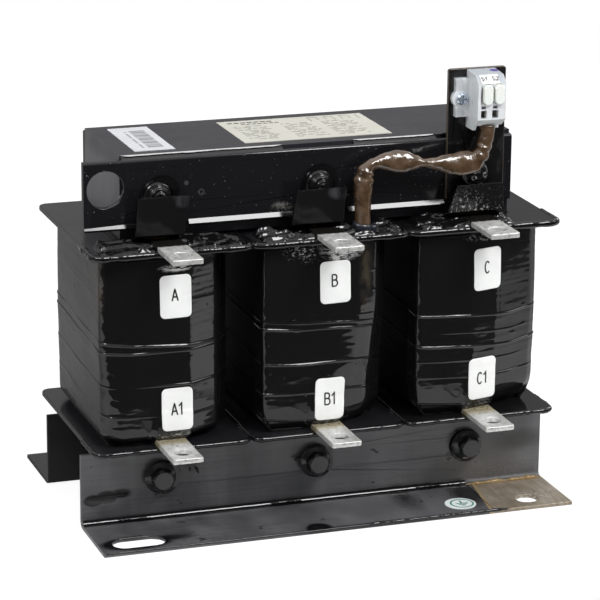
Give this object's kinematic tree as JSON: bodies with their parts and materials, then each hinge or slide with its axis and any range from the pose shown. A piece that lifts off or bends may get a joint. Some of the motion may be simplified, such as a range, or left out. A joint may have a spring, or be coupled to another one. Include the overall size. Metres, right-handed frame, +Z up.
{
  "type": "detuned filter reactor",
  "caption": "Three-phase iron-core filter reactor with taped foil coils, bar terminals, clamp bars, L-shaped feet and a spring terminal block for its thermal switch.",
  "frame": {"origin": "centre of the four-point fixing pattern, on the plane that the feet stand on", "axes": "+X along the front to the right, +Y from the terminal side to the back, +Z up"},
  "size_m": [0.24, 0.1545, 0.2155],
  "materials": {
    "black_steel": "gloss black paint and varnish",
    "core_steel": "satin black varnish over laminations",
    "gap_board": "matte",
    "former_plastic": "satin black, varnished",
    "coil_foil": "satin",
    "black_tape": "gloss black varnished tape",
    "bar_aluminium": "bare, lightly brushed",
    "flap_board": "satin black varnished board",
    "label_white": "satin white vinyl",
    "label_cream": "satin cream vinyl",
    "label_green": "satin pale green vinyl",
    "varnished_fastener": "gloss black varnish over zinc",
    "insulator": "matte",
    "block_grey": "satin light grey",
    "button_cream": "satin off-white",
    "zinc_steel": "blue zinc plate",
    "contact_copper": "tinned copper",
    "brown_sleeve": "gloss varnished glass-fibre sleeve",
    "black_nylon": "satin",
    "switch_case": "matte"
  },
  "bodies": {
    "chassis": {"foot_bracket_front": "black_steel", "foot_bracket_rear": "black_steel", "clamp_bar_front": "black_steel", "clamp_bar_rear": "black_steel", "yoke_lower": "core_steel", "yoke_upper": "core_steel", "limb_a": "core_steel", "limb_b": "core_steel", "limb_c": "core_steel", "gap_spacers": "gap_board", "former_a": "former_plastic", "former_b": "former_plastic", "former_c": "former_plastic", "winding_a": "coil_foil", "winding_b": "coil_foil", "winding_c": "coil_foil", "tape_wrap_a": "black_tape", "tape_wrap_b": "black_tape", "tape_wrap_c": "black_tape", "terminal_a": "bar_aluminium", "terminal_a1": "bar_aluminium", "terminal_b": "bar_aluminium", "terminal_b1": "bar_aluminium", "terminal_c": "bar_aluminium", "terminal_c1": "bar_aluminium", "insulating_flap_a": "flap_board", "insulating_flap_b": "flap_board", "insulating_flap_c": "flap_board", "label_a": "label_white", "label_a1": "label_white", "label_b": "label_white", "label_b1": "label_white", "label_c": "label_white", "label_c1": "label_white", "lower_core_bolts": "varnished_fastener", "upper_core_bolts": "varnished_fastener", "core_nuts": "varnished_fastener", "steel_washers": "varnished_fastener", "insulating_washers": "insulator", "bolt_sleeves": "insulator", "terminal_plate": "black_steel", "block_housing": "block_grey", "block_end_plate": "block_grey", "block_screw": "zinc_steel", "block_screw_nut": "zinc_steel", "block_contacts": "contact_copper", "marker_strip": "label_white", "lead_sleeve": "brown_sleeve", "cable_tie": "black_nylon", "thermal_switch": "switch_case", "rating_label": "label_cream", "code_label": "label_white", "earth_label": "label_green"},
    "release_left": {"release_button_left": "button_cream"},
    "release_right": {"release_button_right": "button_cream"}
  },
  "joints": [
    {"name": "release_left_press", "type": "slide", "parent": "chassis", "child": "release_left", "axis": [0, 1, 0], "range_m": [0, 0.0015], "stiffness_N_per_m": 800, "springref_m": -0.0008},
    {"name": "release_right_press", "type": "slide", "parent": "chassis", "child": "release_right", "axis": [0, 1, 0], "range_m": [0, 0.0015], "stiffness_N_per_m": 800, "springref_m": -0.0008}
  ]
}
